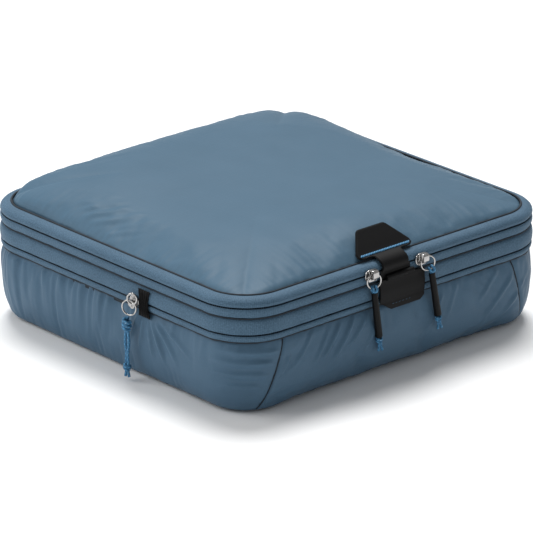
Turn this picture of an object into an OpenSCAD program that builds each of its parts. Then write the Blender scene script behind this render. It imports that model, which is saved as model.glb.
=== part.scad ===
// Compression packing cube: a zipped fabric box whose height grows when the
// lower zipper is run open. Front is -Y, up is +Z, and the origin is the
// centre of the underside.

/* [Overall] */
// Width over the opening zipper
width = 330; // [300:1:360]
// Depth over the opening zipper
depth = 314; // [290:1:340]
// Corner radius of the plan outline at the opening zipper
corner_r = 42; // [36:1:50]
// Height of the middle of the lid
crown_z = 113; // [108:1:118]
// How much higher the lid swells towards the back
back_swell = 10; // [0:1:12]

/* [Heights] */
// Top of the side walls, where the compression tape is sewn on
wall_top_z = 60; // [58:0.5:61]
// Line of the compression zipper
compression_z = 66; // [65.5:0.1:66.5]
// Seam between the compression and opening tapes
middle_z = 79; // [78.5:0.1:79.5]
// Line of the opening zipper
opening_z = 88; // [87.5:0.1:88.5]
// Edge of the lid panel
lid_edge_z = 95; // [94.8:0.1:95.5]

/* [Fabric and tape] */
// Thickness of a wall with its lining
wall_t = 1.6; // [1:0.1:2]
// Thickness of a zipper tape
tape_t = 1; // [0.6:0.1:1.2]
// Radius of one half of a zipper coil
coil_r = 1.1; // [0.9:0.05:1.15]

/* [Tab and patches] */
// Middle of the lid's pull tab, from the middle of the front
tab_x = -10; // [-12:1:12]
// Width of the tab at the lid edge
tab_w = 56; // [44:1:60]
// Width of the tab at its back edge
tab_back_w = 29; // [24:1:40]
// Width of the tongue that bends over the lid edge
tongue_w = 27; // [18:1:28]
// Left edge of the front patch
patch_left = -26; // [-28:1:-20]
// Right edge of the front patch
patch_right = 21; // [16:1:22]
// Middle of the zipper garage on the left side
garage_y = -48; // [-60:1:-40]

/* [Sliders and pulls] */
// Left opening slider, from the middle of the front
slider_left_x = -34; // [-60:1:-33]
// Right opening slider, from the middle of the front
slider_right_x = 19; // [19:1:60]
// Compression slider on the left side
slider_side_y = -36.5; // [-36.5:0.5:20]
// Radius of the opening slider's ring, at the middle of its wire
ring_r = 5.9; // [5.7:0.1:6]
// Radius of the compression slider's ring
side_ring_r = 6.1; // [5.9:0.1:6.2]
// Length of the moulded grip on a pull
grip_len = 38; // [30:1:40]
// Radius of the moulded grip
grip_r = 3.1; // [3.05:0.05:3.2]

/* [Hidden] */

$fn = 48;
half_w = width / 2;
half_d = depth / 2;

fabric = [0.24, 0.36, 0.46];
fabric_lid = [0.34, 0.46, 0.55];
tape_blue = [0.22, 0.33, 0.42];
seam_navy = [0.07, 0.12, 0.17];
black_rubber = [0.08, 0.08, 0.09];
cord_blue = [0.22, 0.5, 0.72];
nickel = [0.72, 0.72, 0.74];

// Plan insets, measured inward from the opening zipper's outline
base_inset = 16;
lid_inset = 9.2;

// Stretches of the outline left free of zipper
hinge_half_w = 98;
coil_end_x = 101;
coil_gap_y = 3;

// Slider build, in the slider's own frame: X along the zipper, -Y outward
plate_in = 1.6;
plate_t = 1.2;
inner_plate_in = 1.8;
inner_plate_t = 1;
post_half_h = 0.2;
ring_out = 5.2;
wire_r = 0.65;
side_wire_r = 0.7;
ring_tilt_right = 31;
ring_tilt_side = -22;
ring_face = -15;
side_ring_face = 20;
crown_up = 2;
side_crown_up = 0.5;
crown_r = 2.8;
crown_hole_r = 1.7;
crown_w = 1.6;

// Pull build; the moulded pulls lean from upright as they rest on the cloth
lean_left = 8;
lean_right = 11;
cord_r = 0.9;
loop_r = 1.9;
side_cord_r = 1.15;
side_loop_r = 2.2;
bore_clear = 0.05;
grip_gap = 3.4;
knot_r = 3;
knot_h = 6;
tail_apart = 0.95;
tail_len = 7;

// ---------- profiles, as [outward, z] points ----------

function reversed(p) = [for (i = [len(p) - 1:-1:0]) p[i]];
function strip(p, shift) = concat(p, [for (q = reversed(p)) q + shift]);

wall_outer = [
    [-base_inset, 0], [-11, 0.6], [-7.2, 3.4], [-4, 10], [-1.6, 20], [-0.2, 34],
    [-0.2, 46], [-0.8, 55], [-1.5, wall_top_z]
];
wall_inner = [
    [-1.5 - wall_t, wall_top_z], [-0.8 - wall_t, 55], [-0.2 - wall_t, 46],
    [-0.2 - wall_t, 34], [-1.6 - wall_t, 20.4], [-4 - wall_t, 10.8],
    [-7.2 - wall_t, 5], [-11, 0.6 + wall_t], [-base_inset, wall_t]
];

module wall_profile() polygon(concat(wall_outer, wall_inner));

module seam_profile()
    polygon(concat(
        [for (p = wall_outer) if (p[1] > 3) p + [0.1, 0]],
        reversed([for (p = wall_outer) if (p[1] > 3) p + [1, 0]])));

lower_compression_outer = [
    [-1.5, wall_top_z + 0.1], [0, wall_top_z + 1.6], [0.5, wall_top_z + 2.9]
];
upper_compression_outer = [
    [0.5, compression_z + 3.1], [0.8, compression_z + 6], [0.2, middle_z - 3],
    [-1.5, middle_z]
];
lower_opening_outer = [
    [-1.5, middle_z + 1.2], [0.1, middle_z + 3], [0.6, middle_z + 4.6], [0.5, opening_z - 3]
];
upper_opening_outer = [
    [0.5, opening_z + 3.6], [0.2, opening_z + 4.6], [-1.2, lid_edge_z - 1.4],
    [-4, lid_edge_z], [-6.3, lid_edge_z + 0.6]
];

// ---------- sweeping a profile round the outline ----------

module along_side(distance, length, turn)
    rotate([0, 0, turn])
        translate([distance, length / 2, 0])
            rotate([90, 0, 0])
                linear_extrude(length) children();

module round_corner(turn)
    rotate([0, 0, turn])
        rotate_extrude(angle = 90) translate([corner_r, 0]) children();

module ring_of() {
    cx = half_w - corner_r;
    cy = half_d - corner_r;
    along_side(half_w, 2 * cy, 0) children();
    along_side(half_d, 2 * cx, 90) children();
    along_side(half_w, 2 * cy, 180) children();
    along_side(half_d, 2 * cx, 270) children();
    translate([cx, cy, 0]) round_corner(0) children();
    translate([-cx, cy, 0]) round_corner(90) children();
    translate([-cx, -cy, 0]) round_corner(180) children();
    translate([cx, -cy, 0]) round_corner(270) children();
}

module rounded_plate(inset, h) {
    a = half_w - inset;
    b = half_d - inset;
    r = corner_r - inset;
    linear_extrude(h) union() {
        square([2 * (a - r), 2 * b], center = true);
        square([2 * a, 2 * (b - r)], center = true);
        for (sx = [-1, 1], sy = [-1, 1])
            translate([sx * (a - r), sy * (b - r)]) circle(r);
    }
}

// Prism in front of the body whose sloping edges are the diagonal corner seams
seam_top_x = 120;
seam_base_x = 140;
module front_wedge(grow = 0)
    translate([0, -half_d / 3, 0])
        rotate([90, 0, 0])
            linear_extrude(half_d)
                polygon([
                    [-seam_base_x - grow, -1], [seam_base_x + grow, -1],
                    [seam_top_x + grow, wall_top_z + 1], [-seam_top_x - grow, wall_top_z + 1]
                ]);

module back_wedge(grow = 0) mirror([0, 1, 0]) front_wedge(grow);

// The back stretch with no zipper
module back_block(half)
    translate([-half, half_d / 2, 0]) cube([2 * half, half_d, 150]);

// The break in the compression coil, under the garage
module garage_block(half)
    translate([-half_w - 20, garage_y - half, 0]) cube([40, 2 * half, 150]);

// ---------- tub ----------

module base_panel() color(fabric) rounded_plate(base_inset, 1.4);

module base_binding()
    color(seam_navy)
        ring_of() translate([-24, 1.45]) square([7, 0.8]);

module front_wall()
    color(fabric) intersection() {
        ring_of() wall_profile();
        front_wedge();
    }

module back_wall()
    color(fabric) intersection() {
        ring_of() wall_profile();
        back_wedge();
    }

module side_wall(side)
    difference() {
        intersection() {
            ring_of() wall_profile();
            translate([side > 0 ? 60 : -half_w - 60, -half_d - 10, -1])
                cube([half_w, depth + 20, wall_top_z + 2]);
        }
        front_wedge();
        back_wedge();
    }

module left_wall() color(fabric) side_wall(-1);

module right_wall() color(fabric) side_wall(1);

seam_w = 3;
module corner_seams()
    color(seam_navy) intersection() {
        ring_of() seam_profile();
        union() {
            difference() {
                front_wedge(seam_w / 2);
                front_wedge(-seam_w / 2);
            }
            difference() {
                back_wedge(seam_w / 2);
                back_wedge(-seam_w / 2);
            }
        }
    }

module wall_binding()
    color(seam_navy)
        ring_of() translate([-1.5 - wall_t - 1.3, wall_top_z - 4]) square([1, 4]);

module tape(outer, shift)
    color(tape_blue)
        ring_of() polygon(strip(outer, shift));

module coil(z) ring_of() translate([0, z]) circle(coil_r, $fn = 16);

coil_up = 1.8;

module compression_tape_lower() tape(lower_compression_outer, [-tape_t, 0]);

module compression_coil_lower()
    color(seam_navy) difference() {
        coil(compression_z - coil_up);
        garage_block(coil_gap_y);
    }

module compression_stops()
    color(nickel)
        for (s = [-1, 1])
            translate([-half_w - coil_r, garage_y + s * (coil_gap_y - 1.1) - 0.9,
                       compression_z - coil_up - coil_r])
                cube([2 * coil_r, 1.8, 2 * coil_r]);

module garage_patch()
    color(black_rubber)
        translate([-half_w, garage_y + 6, 0])
            rotate([90, 0, 0])
                linear_extrude(12)
                    mirror([1, 0])
                        polygon([
                            [-0.3, wall_top_z - 4], [1.9, wall_top_z - 0.5],
                            [1.9, middle_z - 1], [2.9, middle_z - 1],
                            [2.9, wall_top_z - 1], [0.7, wall_top_z - 4.4]
                        ]);

// ---------- rim ----------

module compression_tape_upper() tape(upper_compression_outer, [-tape_t, 0]);

module compression_coil_upper()
    color(seam_navy) difference() {
        coil(compression_z + coil_up);
        garage_block(coil_gap_y);
    }

module middle_binding()
    color(seam_navy)
        ring_of() translate([-3.7, middle_z - 1.6]) square([1, 4.4]);

module opening_tape_lower()
    difference() {
        tape(lower_opening_outer, [-tape_t, 0]);
        back_block(hinge_half_w);
    }

module opening_coil_lower()
    color(seam_navy) difference() {
        coil(opening_z - coil_up);
        back_block(coil_end_x);
    }

module opening_stops(z)
    color(nickel)
        for (s = [-1, 1])
            translate([s * (coil_end_x - 1.3) - 1.1, half_d - coil_r, z - coil_r])
                cube([2.2, 2 * coil_r, 2 * coil_r]);

module opening_stops_lower() opening_stops(opening_z - coil_up);

patch_out = 2.4;
patch_t = 1;
patch_roll_r = 1.7;
patch_roll_w = 27;
patch_drop = 26;
patch_top = middle_z + 2.4;
module front_patch()
    color(black_rubber) {
        across_front((patch_left + patch_right) / 2, patch_right - patch_left)
            translate([-half_d, 0]) {
                translate([-patch_out - patch_t / 2, patch_top - patch_drop])
                    square([patch_t, patch_drop]);
                translate([-patch_out, middle_z + 0.3]) square([patch_out + 1.4, 0.6]);
            }
        across_front((patch_left + patch_right) / 2 - 2, patch_roll_w)
            translate([-half_d, 0]) {
                translate([-patch_out, patch_top + patch_roll_r]) circle(patch_roll_r, $fn = 24);
                translate([-2, patch_top + patch_roll_r]) square([0.8, 4.2]);
            }
    }

hinge_outer = [
    [-1.5, middle_z + 1.2], [0.1, middle_z + 3], [0.6, middle_z + 5], [0.4, opening_z + 1],
    [-0.2, opening_z + 4], [-1.6, lid_edge_z - 1.6], [-4, lid_edge_z - 0.3],
    [-6.8, lid_edge_z + 0.2]
];
module hinge_panel()
    color(fabric)
        along_side(half_d, 2 * hinge_half_w - 0.4, 90)
            polygon(strip(hinge_outer, [-0.8, -0.5]));

// The pleats' run is measured level, so the fabric itself is far thinner than gusset_t
gusset_out = -6.2;
gusset_in = -13;
gusset_pleats = 3;
gusset_t = 2.2;
gusset_low = wall_top_z + 1.4;
gusset_high = middle_z - 2.2;
gusset_step = (gusset_high - gusset_low) / (2 * gusset_pleats);
module expansion_gusset()
    color(fabric)
        ring_of() polygon(strip(
            [for (i = [0:2 * gusset_pleats])
                [i % 2 == 0 ? gusset_out : gusset_in, gusset_low + i * gusset_step]],
            [-gusset_t, 0]));

// ---------- lid ----------

lid_t = 1.6;
lid_a = half_w - lid_inset;
lid_b = half_d - lid_inset;
lid_r = corner_r - lid_inset;
lid_rise = crown_z - lid_edge_z;
lid_steps = [0, 0.01, 0.03, 0.07, 0.13, 0.22, 0.34, 0.5, 0.7, 0.88];
corner_cuts = 8;
side_cuts = 6;

function side_points(from, to) = [for (i = [1:side_cuts - 1]) from + (to - from) * i / side_cuts];
function corner_points(cx, cy, r, start) =
    [for (i = [0:corner_cuts])
        [cx + r * cos(start + 90 * i / corner_cuts), cy + r * sin(start + 90 * i / corner_cuts)]];
function outline(a, b, r) =
    concat(
        corner_points(a - r, b - r, r, 0), side_points([a - r, b], [r - a, b]),
        corner_points(r - a, b - r, r, 90), side_points([-a, b - r], [-a, r - b]),
        corner_points(r - a, r - b, r, 180), side_points([r - a, -b], [a - r, -b]),
        corner_points(a - r, r - b, r, 270), side_points([a, r - b], [a, b - r]));
function ease(t) = t <= 0 ? 0 : t >= 1 ? 1 : t * t * (3 - 2 * t);
function lid_height(f, x, y, rise) =
    let (back = max(0, y / lid_b), swell = back_swell * ease((y / lid_b + 0.2) / 1.1))
    (rise + swell) * pow(1 - pow(1 - f, 2.9 + 3 * back * back), 0.53 - 0.08 * back)
        * (1 - 0.45 * abs(x * y) / (lid_a * lid_b));
function lid_ring(f, a, b, r, rise) =
    [for (p = outline(a, b, r))
        let (x = p[0] * (1 - f), y = p[1] * (1 - f))
        [x, y, lid_edge_z + lid_height(f, x, y, rise)]];

ring_n = 4 * (corner_cuts + side_cuts);
step_n = len(lid_steps);
inner_first = ring_n * step_n;
outer_top = 2 * inner_first;
inner_top = outer_top + 1;

function strip_faces(first, flip) =
    [for (k = [0:step_n - 2], i = [0:ring_n - 1], half = [0, 1])
        let (j = (i + 1) % ring_n, a = first + k * ring_n + i, b = first + k * ring_n + j,
             t = half == 0 ? [a, b, b + ring_n] : [a, b + ring_n, a + ring_n])
        flip ? t : [t[2], t[1], t[0]]];
function cap_faces(first, top, flip) =
    [for (i = [0:ring_n - 1])
        let (a = first + (step_n - 1) * ring_n + i,
             b = first + (step_n - 1) * ring_n + (i + 1) % ring_n)
        flip ? [a, b, top] : [b, a, top]];
rim_faces =
    [for (i = [0:ring_n - 1], half = [0, 1])
        let (j = (i + 1) % ring_n)
        half == 0 ? [i, j, inner_first + j] : [i, inner_first + j, inner_first + i]];

module lid_panel()
    color(fabric_lid)
        polyhedron(
            points = concat(
                [for (f = lid_steps) each lid_ring(f, lid_a, lid_b, lid_r, lid_rise)],
                [for (f = lid_steps)
                    each lid_ring(f, lid_a - lid_t, lid_b - lid_t, lid_r - lid_t,
                                  lid_rise - lid_t)],
                [for (t = [0, lid_t])
                    [0, 0, lid_edge_z + lid_height(1, 0, 0, lid_rise - t)]]),
            faces = concat(
                strip_faces(0, false), cap_faces(0, outer_top, false),
                strip_faces(inner_first, true), cap_faces(inner_first, inner_top, true),
                rim_faces));

module lid_piping()
    color(seam_navy)
        ring_of() translate([-8.25, lid_edge_z + 0.4]) circle(0.8, $fn = 16);

module lid_binding()
    color(seam_navy)
        ring_of() translate([-12.5, lid_edge_z - 1]) square([3.6, 0.8]);

module opening_tape_upper()
    difference() {
        tape(upper_opening_outer, [-0.9 * tape_t, -0.6 * tape_t]);
        back_block(hinge_half_w);
    }

module opening_coil_upper()
    color(seam_navy) difference() {
        coil(opening_z + coil_up);
        back_block(coil_end_x);
    }

module opening_stops_upper() opening_stops(opening_z + coil_up);

// The tab is stiff, so it stands straight up from its foot off the lid's curve
tab_len = 20.4;
tab_t = 1.2;
tab_rise = 40;
tab_front_y = -lid_b - 2.6;
tab_foot_y = -lid_b + 0.6;
tab_foot_z = lid_edge_z + 3.2;
function tab_z(y) = tab_foot_z + (y - tab_foot_y) * tan(tab_rise);
tab_line = [
    [tab_front_y, lid_edge_z + 2.1], [tab_foot_y, tab_foot_z],
    [tab_front_y + tab_len, tab_z(tab_front_y + tab_len)]
];
tongue_line = [
    [-half_d - 2, opening_z + 0.6], [-half_d - 2, opening_z + 4.6],
    [-half_d + 0.4, lid_edge_z + 0.2], [-half_d + 4.2, lid_edge_z + 1.9], tab_line[0]
];

module across_front(middle, w)
    translate([middle - w / 2, 0, 0])
        rotate([90, 0, 90])
            linear_extrude(w) children();

tab_chamfer = 3;
module grab_tab()
    color(black_rubber) {
        intersection() {
            across_front(tab_x, tab_w) polygon(strip(tab_line, [0, tab_t]));
            translate([tab_x, tab_front_y, 0])
                linear_extrude(150)
                    polygon([
                        [tab_chamfer - tab_w / 2, -1], [tab_w / 2 - tab_chamfer, -1],
                        [tab_w / 2, 5], [tab_back_w / 2, tab_len],
                        [-tab_back_w / 2, tab_len], [-tab_w / 2, 5]
                    ]);
        }
        across_front(tab_x, tongue_w)
            polygon(strip(tongue_line, [-0.4, tab_t]));
    }

bartack_w = 50;
bartack_line = [for (y = [tab_foot_y + 0.4, tab_foot_y + 2]) [y, tab_z(y) + tab_t + 0.15]];
module tab_bartack()
    color(cord_blue)
        across_front(tab_x, bartack_w) polygon(strip(bartack_line, [0, 0.6]));

// ---------- sliders, rings and pulls ----------

module at_front(x, up = 0) translate([x, -half_d, opening_z + up]) children();

module at_left(y, up = 0)
    translate([-half_w, y, compression_z + up]) rotate([0, 0, -90]) children();

module along_x(h) rotate([0, 90, 0]) translate([0, 0, -h / 2]) linear_extrude(h) children();

module rounded_slab(w, h, t)
    rotate([90, 0, 0])
        linear_extrude(t) union() {
            square([w - h, h], center = true);
            for (s = [-1, 1]) translate([s * (w - h) / 2, 0]) circle(h / 2);
        }

slider_w = 13.6;
slider_h = 9.6;
side_slider_w = 10.4;
side_slider_h = 8.4;
inner_h = 6.6;
module slider_body(w, h) {
    translate([0, -plate_in, 0.3]) rounded_slab(w, h, plate_t);
    translate([0, inner_plate_in + inner_plate_t, -1.7])
        rounded_slab(w - 1, inner_h, inner_plate_t);
    translate([-1.2, -plate_in, -post_half_h])
        cube([2.4, plate_in + inner_plate_in, 2 * post_half_h]);
}

module slider_crown()
    difference() {
        union() {
            translate([0, -ring_out, 0]) along_x(crown_w) circle(crown_r);
            translate([-crown_w / 2, -ring_out, -crown_r])
                cube([crown_w, ring_out - plate_in - plate_t, 2 * crown_r]);
        }
        translate([0, -ring_out, 0]) along_x(crown_w + 1) circle(crown_hole_r);
        translate([-crown_w, -plate_in - plate_t, -2 * crown_r])
            cube([2 * crown_w, crown_r, 4 * crown_r]);
    }

// A ring that hangs from the crown, leaning by tilt along the zipper and turned by face
module wire_ring(r, wire, tilt, face)
    translate([0, -ring_out, 0])
        rotate([0, 0, face])
            rotate([0, -tilt, 0])
                translate([0, 0, -r])
                    rotate([90, 0, 0])
                        rotate_extrude() translate([r, 0]) circle(wire, $fn = 20);

// Moves its children to where the cord loops round the ring
module at_ring_bottom(r, tilt, face)
    translate([0, -ring_out, 0])
        rotate([0, 0, face])
            translate([2 * r * sin(tilt), 0, -2 * r * cos(tilt)]) children();

module cord_loop(bend_r, thick, drop) {
    rotate([90, 0, 90])
        rotate_extrude(angle = 180) translate([bend_r, 0]) circle(thick, $fn = 20);
    for (s = [-1, 1])
        translate([0, s * bend_r, -drop]) cylinder(h = drop, r = thick, $fn = 20);
}

module knot(r, h, flat)
    translate([0, 0, -h])
        rotate_extrude()
            polygon([
                [0, 0], [flat * r, 0], [r, h / 4], [r, 3 * h / 4], [flat * r, h], [0, h]
            ]);

module tails(apart, thick, length)
    for (s = [-1, 1])
        translate([s * apart, 0, -length]) cylinder(h = length, r = thick, $fn = 20);

module pull_cord(r, tilt, lean)
    color(cord_blue)
        at_ring_bottom(r, tilt, ring_face) rotate([0, -lean, 0]) {
            cord_loop(loop_r, cord_r, grip_gap + grip_len);
            translate([0, 0, -grip_gap - grip_len]) {
                knot(knot_r, knot_h, 0.95);
                translate([0, 0, -knot_h]) tails(tail_apart, cord_r, tail_len);
            }
        }

module pull_grip(r, tilt, lean)
    color(black_rubber)
        at_ring_bottom(r, tilt, ring_face)
            rotate([0, -lean, 0])
                translate([0, 0, -grip_gap - grip_len])
                    difference() {
                        cylinder(h = grip_len, r = grip_r);
                        for (s = [-1, 1])
                            translate([0, s * loop_r, -1])
                                cylinder(h = grip_len + 2, r = cord_r + bore_clear, $fn = 20);
                    }

module slider_left() color(nickel) at_front(slider_left_x) slider_body(slider_w, slider_h);
module crown_left() color(nickel) at_front(slider_left_x, crown_up) slider_crown();
module ring_left()
    color(nickel)
        at_front(slider_left_x, crown_up) wire_ring(ring_r, wire_r, 0, ring_face);
module pull_cord_left() at_front(slider_left_x, crown_up) pull_cord(ring_r, 0, lean_left);
module pull_grip_left() at_front(slider_left_x, crown_up) pull_grip(ring_r, 0, lean_left);

module slider_right() color(nickel) at_front(slider_right_x) slider_body(slider_w, slider_h);
module crown_right() color(nickel) at_front(slider_right_x, crown_up) slider_crown();
module ring_right()
    color(nickel)
        at_front(slider_right_x, crown_up)
            wire_ring(ring_r, wire_r, ring_tilt_right, ring_face);
module pull_cord_right()
    at_front(slider_right_x, crown_up) pull_cord(ring_r, ring_tilt_right, lean_right);
module pull_grip_right()
    at_front(slider_right_x, crown_up) pull_grip(ring_r, ring_tilt_right, lean_right);

module slider_side()
    color(nickel) at_left(slider_side_y) slider_body(side_slider_w, side_slider_h);
module crown_side() color(nickel) at_left(slider_side_y, side_crown_up) slider_crown();
module ring_side()
    color(nickel)
        at_left(slider_side_y, side_crown_up)
            wire_ring(side_ring_r, side_wire_r, ring_tilt_side, side_ring_face);

side_knot_r = 4.2;
side_knot_h = 11;
side_knot_drop = 3;
side_strand_len = 26;
side_strand_apart = 1.3;
side_end_r = 3.4;
side_end_h = 7;
side_tail_len = 5;
strand_top = -side_knot_drop - side_knot_h - 0.05;
end_top = strand_top - side_strand_len - 0.05;

module at_side_pull(z)
    at_left(slider_side_y, side_crown_up)
        at_ring_bottom(side_ring_r, ring_tilt_side, side_ring_face)
            translate([0, 0, z]) children();

module pull_knot_side()
    color(cord_blue) at_side_pull(0) {
        cord_loop(side_loop_r, side_cord_r, side_knot_drop);
        translate([0, 0, -side_knot_drop]) knot(side_knot_r, side_knot_h, 0.8);
    }

module pull_strands_side()
    color(cord_blue)
        at_side_pull(strand_top) tails(side_strand_apart, side_cord_r, side_strand_len);

module pull_end_side()
    color(cord_blue) at_side_pull(end_top) {
        knot(side_end_r, side_end_h, 0.8);
        translate([0, 0, -side_end_h]) tails(side_strand_apart, side_cord_r, side_tail_len);
    }

base_panel();
base_binding();
front_wall();
back_wall();
left_wall();
right_wall();
corner_seams();
wall_binding();
compression_tape_lower();
compression_coil_lower();
compression_stops();
garage_patch();
compression_tape_upper();
compression_coil_upper();
middle_binding();
opening_tape_lower();
opening_coil_lower();
opening_stops_lower();
front_patch();
hinge_panel();
expansion_gusset();
lid_panel();
lid_piping();
lid_binding();
opening_tape_upper();
opening_coil_upper();
opening_stops_upper();
grab_tab();
tab_bartack();
slider_left();
crown_left();
ring_left();
pull_cord_left();
pull_grip_left();
slider_right();
crown_right();
ring_right();
pull_cord_right();
pull_grip_right();
slider_side();
crown_side();
ring_side();
pull_knot_side();
pull_strands_side();
pull_end_side();
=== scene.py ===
import math

import bpy
from mathutils import Matrix, Vector, noise


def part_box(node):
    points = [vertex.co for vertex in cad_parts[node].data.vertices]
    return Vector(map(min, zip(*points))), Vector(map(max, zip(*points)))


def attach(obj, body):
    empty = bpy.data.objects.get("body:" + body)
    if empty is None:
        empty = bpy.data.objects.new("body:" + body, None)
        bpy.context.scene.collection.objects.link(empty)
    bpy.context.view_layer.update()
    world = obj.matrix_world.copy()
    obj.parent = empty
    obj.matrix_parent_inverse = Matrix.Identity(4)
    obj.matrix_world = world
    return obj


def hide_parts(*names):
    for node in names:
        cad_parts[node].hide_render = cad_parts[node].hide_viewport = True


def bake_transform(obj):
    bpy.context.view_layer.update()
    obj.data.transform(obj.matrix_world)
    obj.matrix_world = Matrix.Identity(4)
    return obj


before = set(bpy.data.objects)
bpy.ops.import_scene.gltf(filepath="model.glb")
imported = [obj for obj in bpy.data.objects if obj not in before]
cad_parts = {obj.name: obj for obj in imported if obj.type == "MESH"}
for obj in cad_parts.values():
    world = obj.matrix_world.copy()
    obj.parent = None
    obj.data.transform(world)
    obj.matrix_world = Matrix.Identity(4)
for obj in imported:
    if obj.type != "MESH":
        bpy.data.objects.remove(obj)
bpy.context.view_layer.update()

# ---------- sizes, in millimetres ----------

MM = 0.001
COIL_R = 1.1
CORNER_R = 42.0
SEAM_TOP_X = 120.0
SEAM_BASE_X = 140.0
BASE_INSET = 16.0


def low(node):
    """The node's lowest corner, in millimetres."""
    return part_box(node)[0] / MM


def high(node):
    """The node's highest corner, in millimetres."""
    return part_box(node)[1] / MM


half_w = high("opening_coil_lower").x - COIL_R
half_d = -low("opening_coil_lower").y - COIL_R
wall_top = high("front_wall").z
middle_z = high("compression_tape_upper").z
opening_z = (high("opening_coil_lower").z + low("opening_coil_upper").z) / 2
compression_z = (high("compression_coil_lower").z + low("compression_coil_upper").z) / 2
lid_edge = low("lid_panel").z
lid_half_w = high("lid_panel").x
lid_half_d = high("lid_panel").y
hinge_half_w = high("hinge_panel").x

# ---------- the outline of the box ----------

flat_x = half_w - CORNER_R
flat_y = half_d - CORNER_R
ARC = CORNER_R * math.pi / 2
half_round = 2 * flat_x + 2 * ARC + 2 * flat_y
left_mid = -(flat_x + ARC + flat_y)


def outline_at(along):
    """Point and outward direction on the zipper line, along it from the middle of the front."""
    along = (along + half_round) % (2 * half_round) - half_round
    side = 1 if along >= 0 else -1
    rest = abs(along)
    if rest <= flat_x:
        x, y, nx, ny = rest, -half_d, 0, -1
    elif rest <= flat_x + ARC:
        turn = (rest - flat_x) / CORNER_R
        nx, ny = math.sin(turn), -math.cos(turn)
        x, y = flat_x + CORNER_R * nx, -flat_y + CORNER_R * ny
    elif rest <= flat_x + ARC + 2 * flat_y:
        x, y, nx, ny = half_w, rest - flat_x - ARC - flat_y, 1, 0
    elif rest <= flat_x + 2 * ARC + 2 * flat_y:
        turn = (rest - flat_x - ARC - 2 * flat_y) / CORNER_R
        nx, ny = math.cos(turn), math.sin(turn)
        x, y = flat_x + CORNER_R * nx, flat_y + CORNER_R * ny
    else:
        x, y, nx, ny = half_round - rest, half_d, 0, 1
    return Vector((x * side, y, 0)), Vector((nx * side, ny, 0))


def on_box(along, out, z):
    """The point at that height and that far out from the zipper line."""
    point, normal = outline_at(along)
    return point + normal * out + Vector((0, 0, z))


def left_at(y):
    """How far along the outline a place on the left side is."""
    return left_mid - y


def ease(value):
    """Goes smoothly from 0 to 1 as value does."""
    value = min(1.0, max(0.0, value))
    return value * value * (3 - 2 * value)


def bump(value, width):
    """A smooth hump of height 1 round zero, that wide each way."""
    return ease(1 - abs(value) / width)


def rough(along, across, pitch, stretch, seed):
    """Smooth irregular waves from -1 to 1, pitch long one way and stretch the other."""
    return noise.noise(Vector((along / pitch, across / stretch, seed)))


# ---------- meshes ----------

SPLINE_STEPS = 12


def spline(corners, spacing, closed=False):
    """Evenly spaced points on a smooth line through the corners."""
    corners = [Vector(c) for c in corners]
    count = len(corners)
    dense = []
    for i in range(count if closed else count - 1):
        b = corners[i]
        c = corners[(i + 1) % count]
        a = corners[i - 1] if closed or i > 0 else 2 * b - c
        d = corners[(i + 2) % count] if closed or i + 2 < count else 2 * c - b
        for k in range(SPLINE_STEPS):
            t = k / SPLINE_STEPS
            cubic = (3 * b - a - 3 * c + d) * t ** 3
            dense.append(0.5 * (2 * b + (c - a) * t + (2 * a - 5 * b + 4 * c - d) * t * t + cubic))
    dense.append(corners[0] if closed else corners[-1])
    lengths = run_lengths(dense)
    steps = max(1, round(lengths[-1] / spacing))
    points = []
    k = 0
    for i in range(steps if closed else steps + 1):
        target = lengths[-1] * i / steps
        while k < len(dense) - 2 and lengths[k + 1] < target:
            k += 1
        span = lengths[k + 1] - lengths[k]
        points.append(dense[k].lerp(dense[k + 1], (target - lengths[k]) / span if span else 0))
    return points


def run_lengths(points):
    """The distance along a line of points, at each of them."""
    lengths = [0.0]
    for p, q in zip(points, points[1:]):
        lengths.append(lengths[-1] + (q - p).length)
    return lengths


def profile_line(profile, spacing):
    """Even points on a profile, whose corners are given as how far out and how high."""
    return spline([(out, z, 0) for out, z in profile], spacing)


def link(name, mesh):
    """Puts a mesh in the scene as a piece."""
    piece = bpy.data.objects.new(name, mesh)
    bpy.context.scene.collection.objects.link(piece)
    return piece


def pick(piece):
    """Makes the piece the only one selected."""
    bpy.ops.object.select_all(action="DESELECT")
    piece.select_set(True)
    bpy.context.view_layer.objects.active = piece


def modify(piece, kind, **settings):
    """Adds a modifier and applies it."""
    pick(piece)
    modifier = piece.modifiers.new(kind.title(), kind)
    for key, value in settings.items():
        setattr(modifier, key, value)
    bpy.ops.object.modifier_apply(modifier=modifier.name)


def smooth(piece, angle=180):
    pick(piece)
    bpy.ops.object.shade_smooth_by_angle(angle=math.radians(angle))


def grid_shell(name, columns, rows, place, wrap=0.0):
    """A sheet of quads. columns are distances along it, rows are distances up it, and wrap closes it."""
    mesh = bpy.data.meshes.new(name)
    points = [place(i, j) * MM for i in range(len(columns)) for j in range(len(rows))]
    faces = []
    corners = []
    high_row = len(rows)
    for i in range(len(columns) if wrap else len(columns) - 1):
        k = (i + 1) % len(columns)
        u = columns[i]
        u_next = columns[k] if k else columns[0] + wrap
        for j in range(high_row - 1):
            first, second = i * high_row + j, k * high_row + j
            faces.append((first, second, second + 1, first + 1))
            corners += [(u, rows[j]), (u_next, rows[j]), (u_next, rows[j + 1]), (u, rows[j + 1])]
    mesh.from_pydata(points, [], faces)
    layer = mesh.uv_layers.new(name="cloth")
    for loop, corner in zip(layer.data, corners):
        loop.uv = (corner[0] * MM, corner[1] * MM)
    return link(name, mesh)


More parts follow.
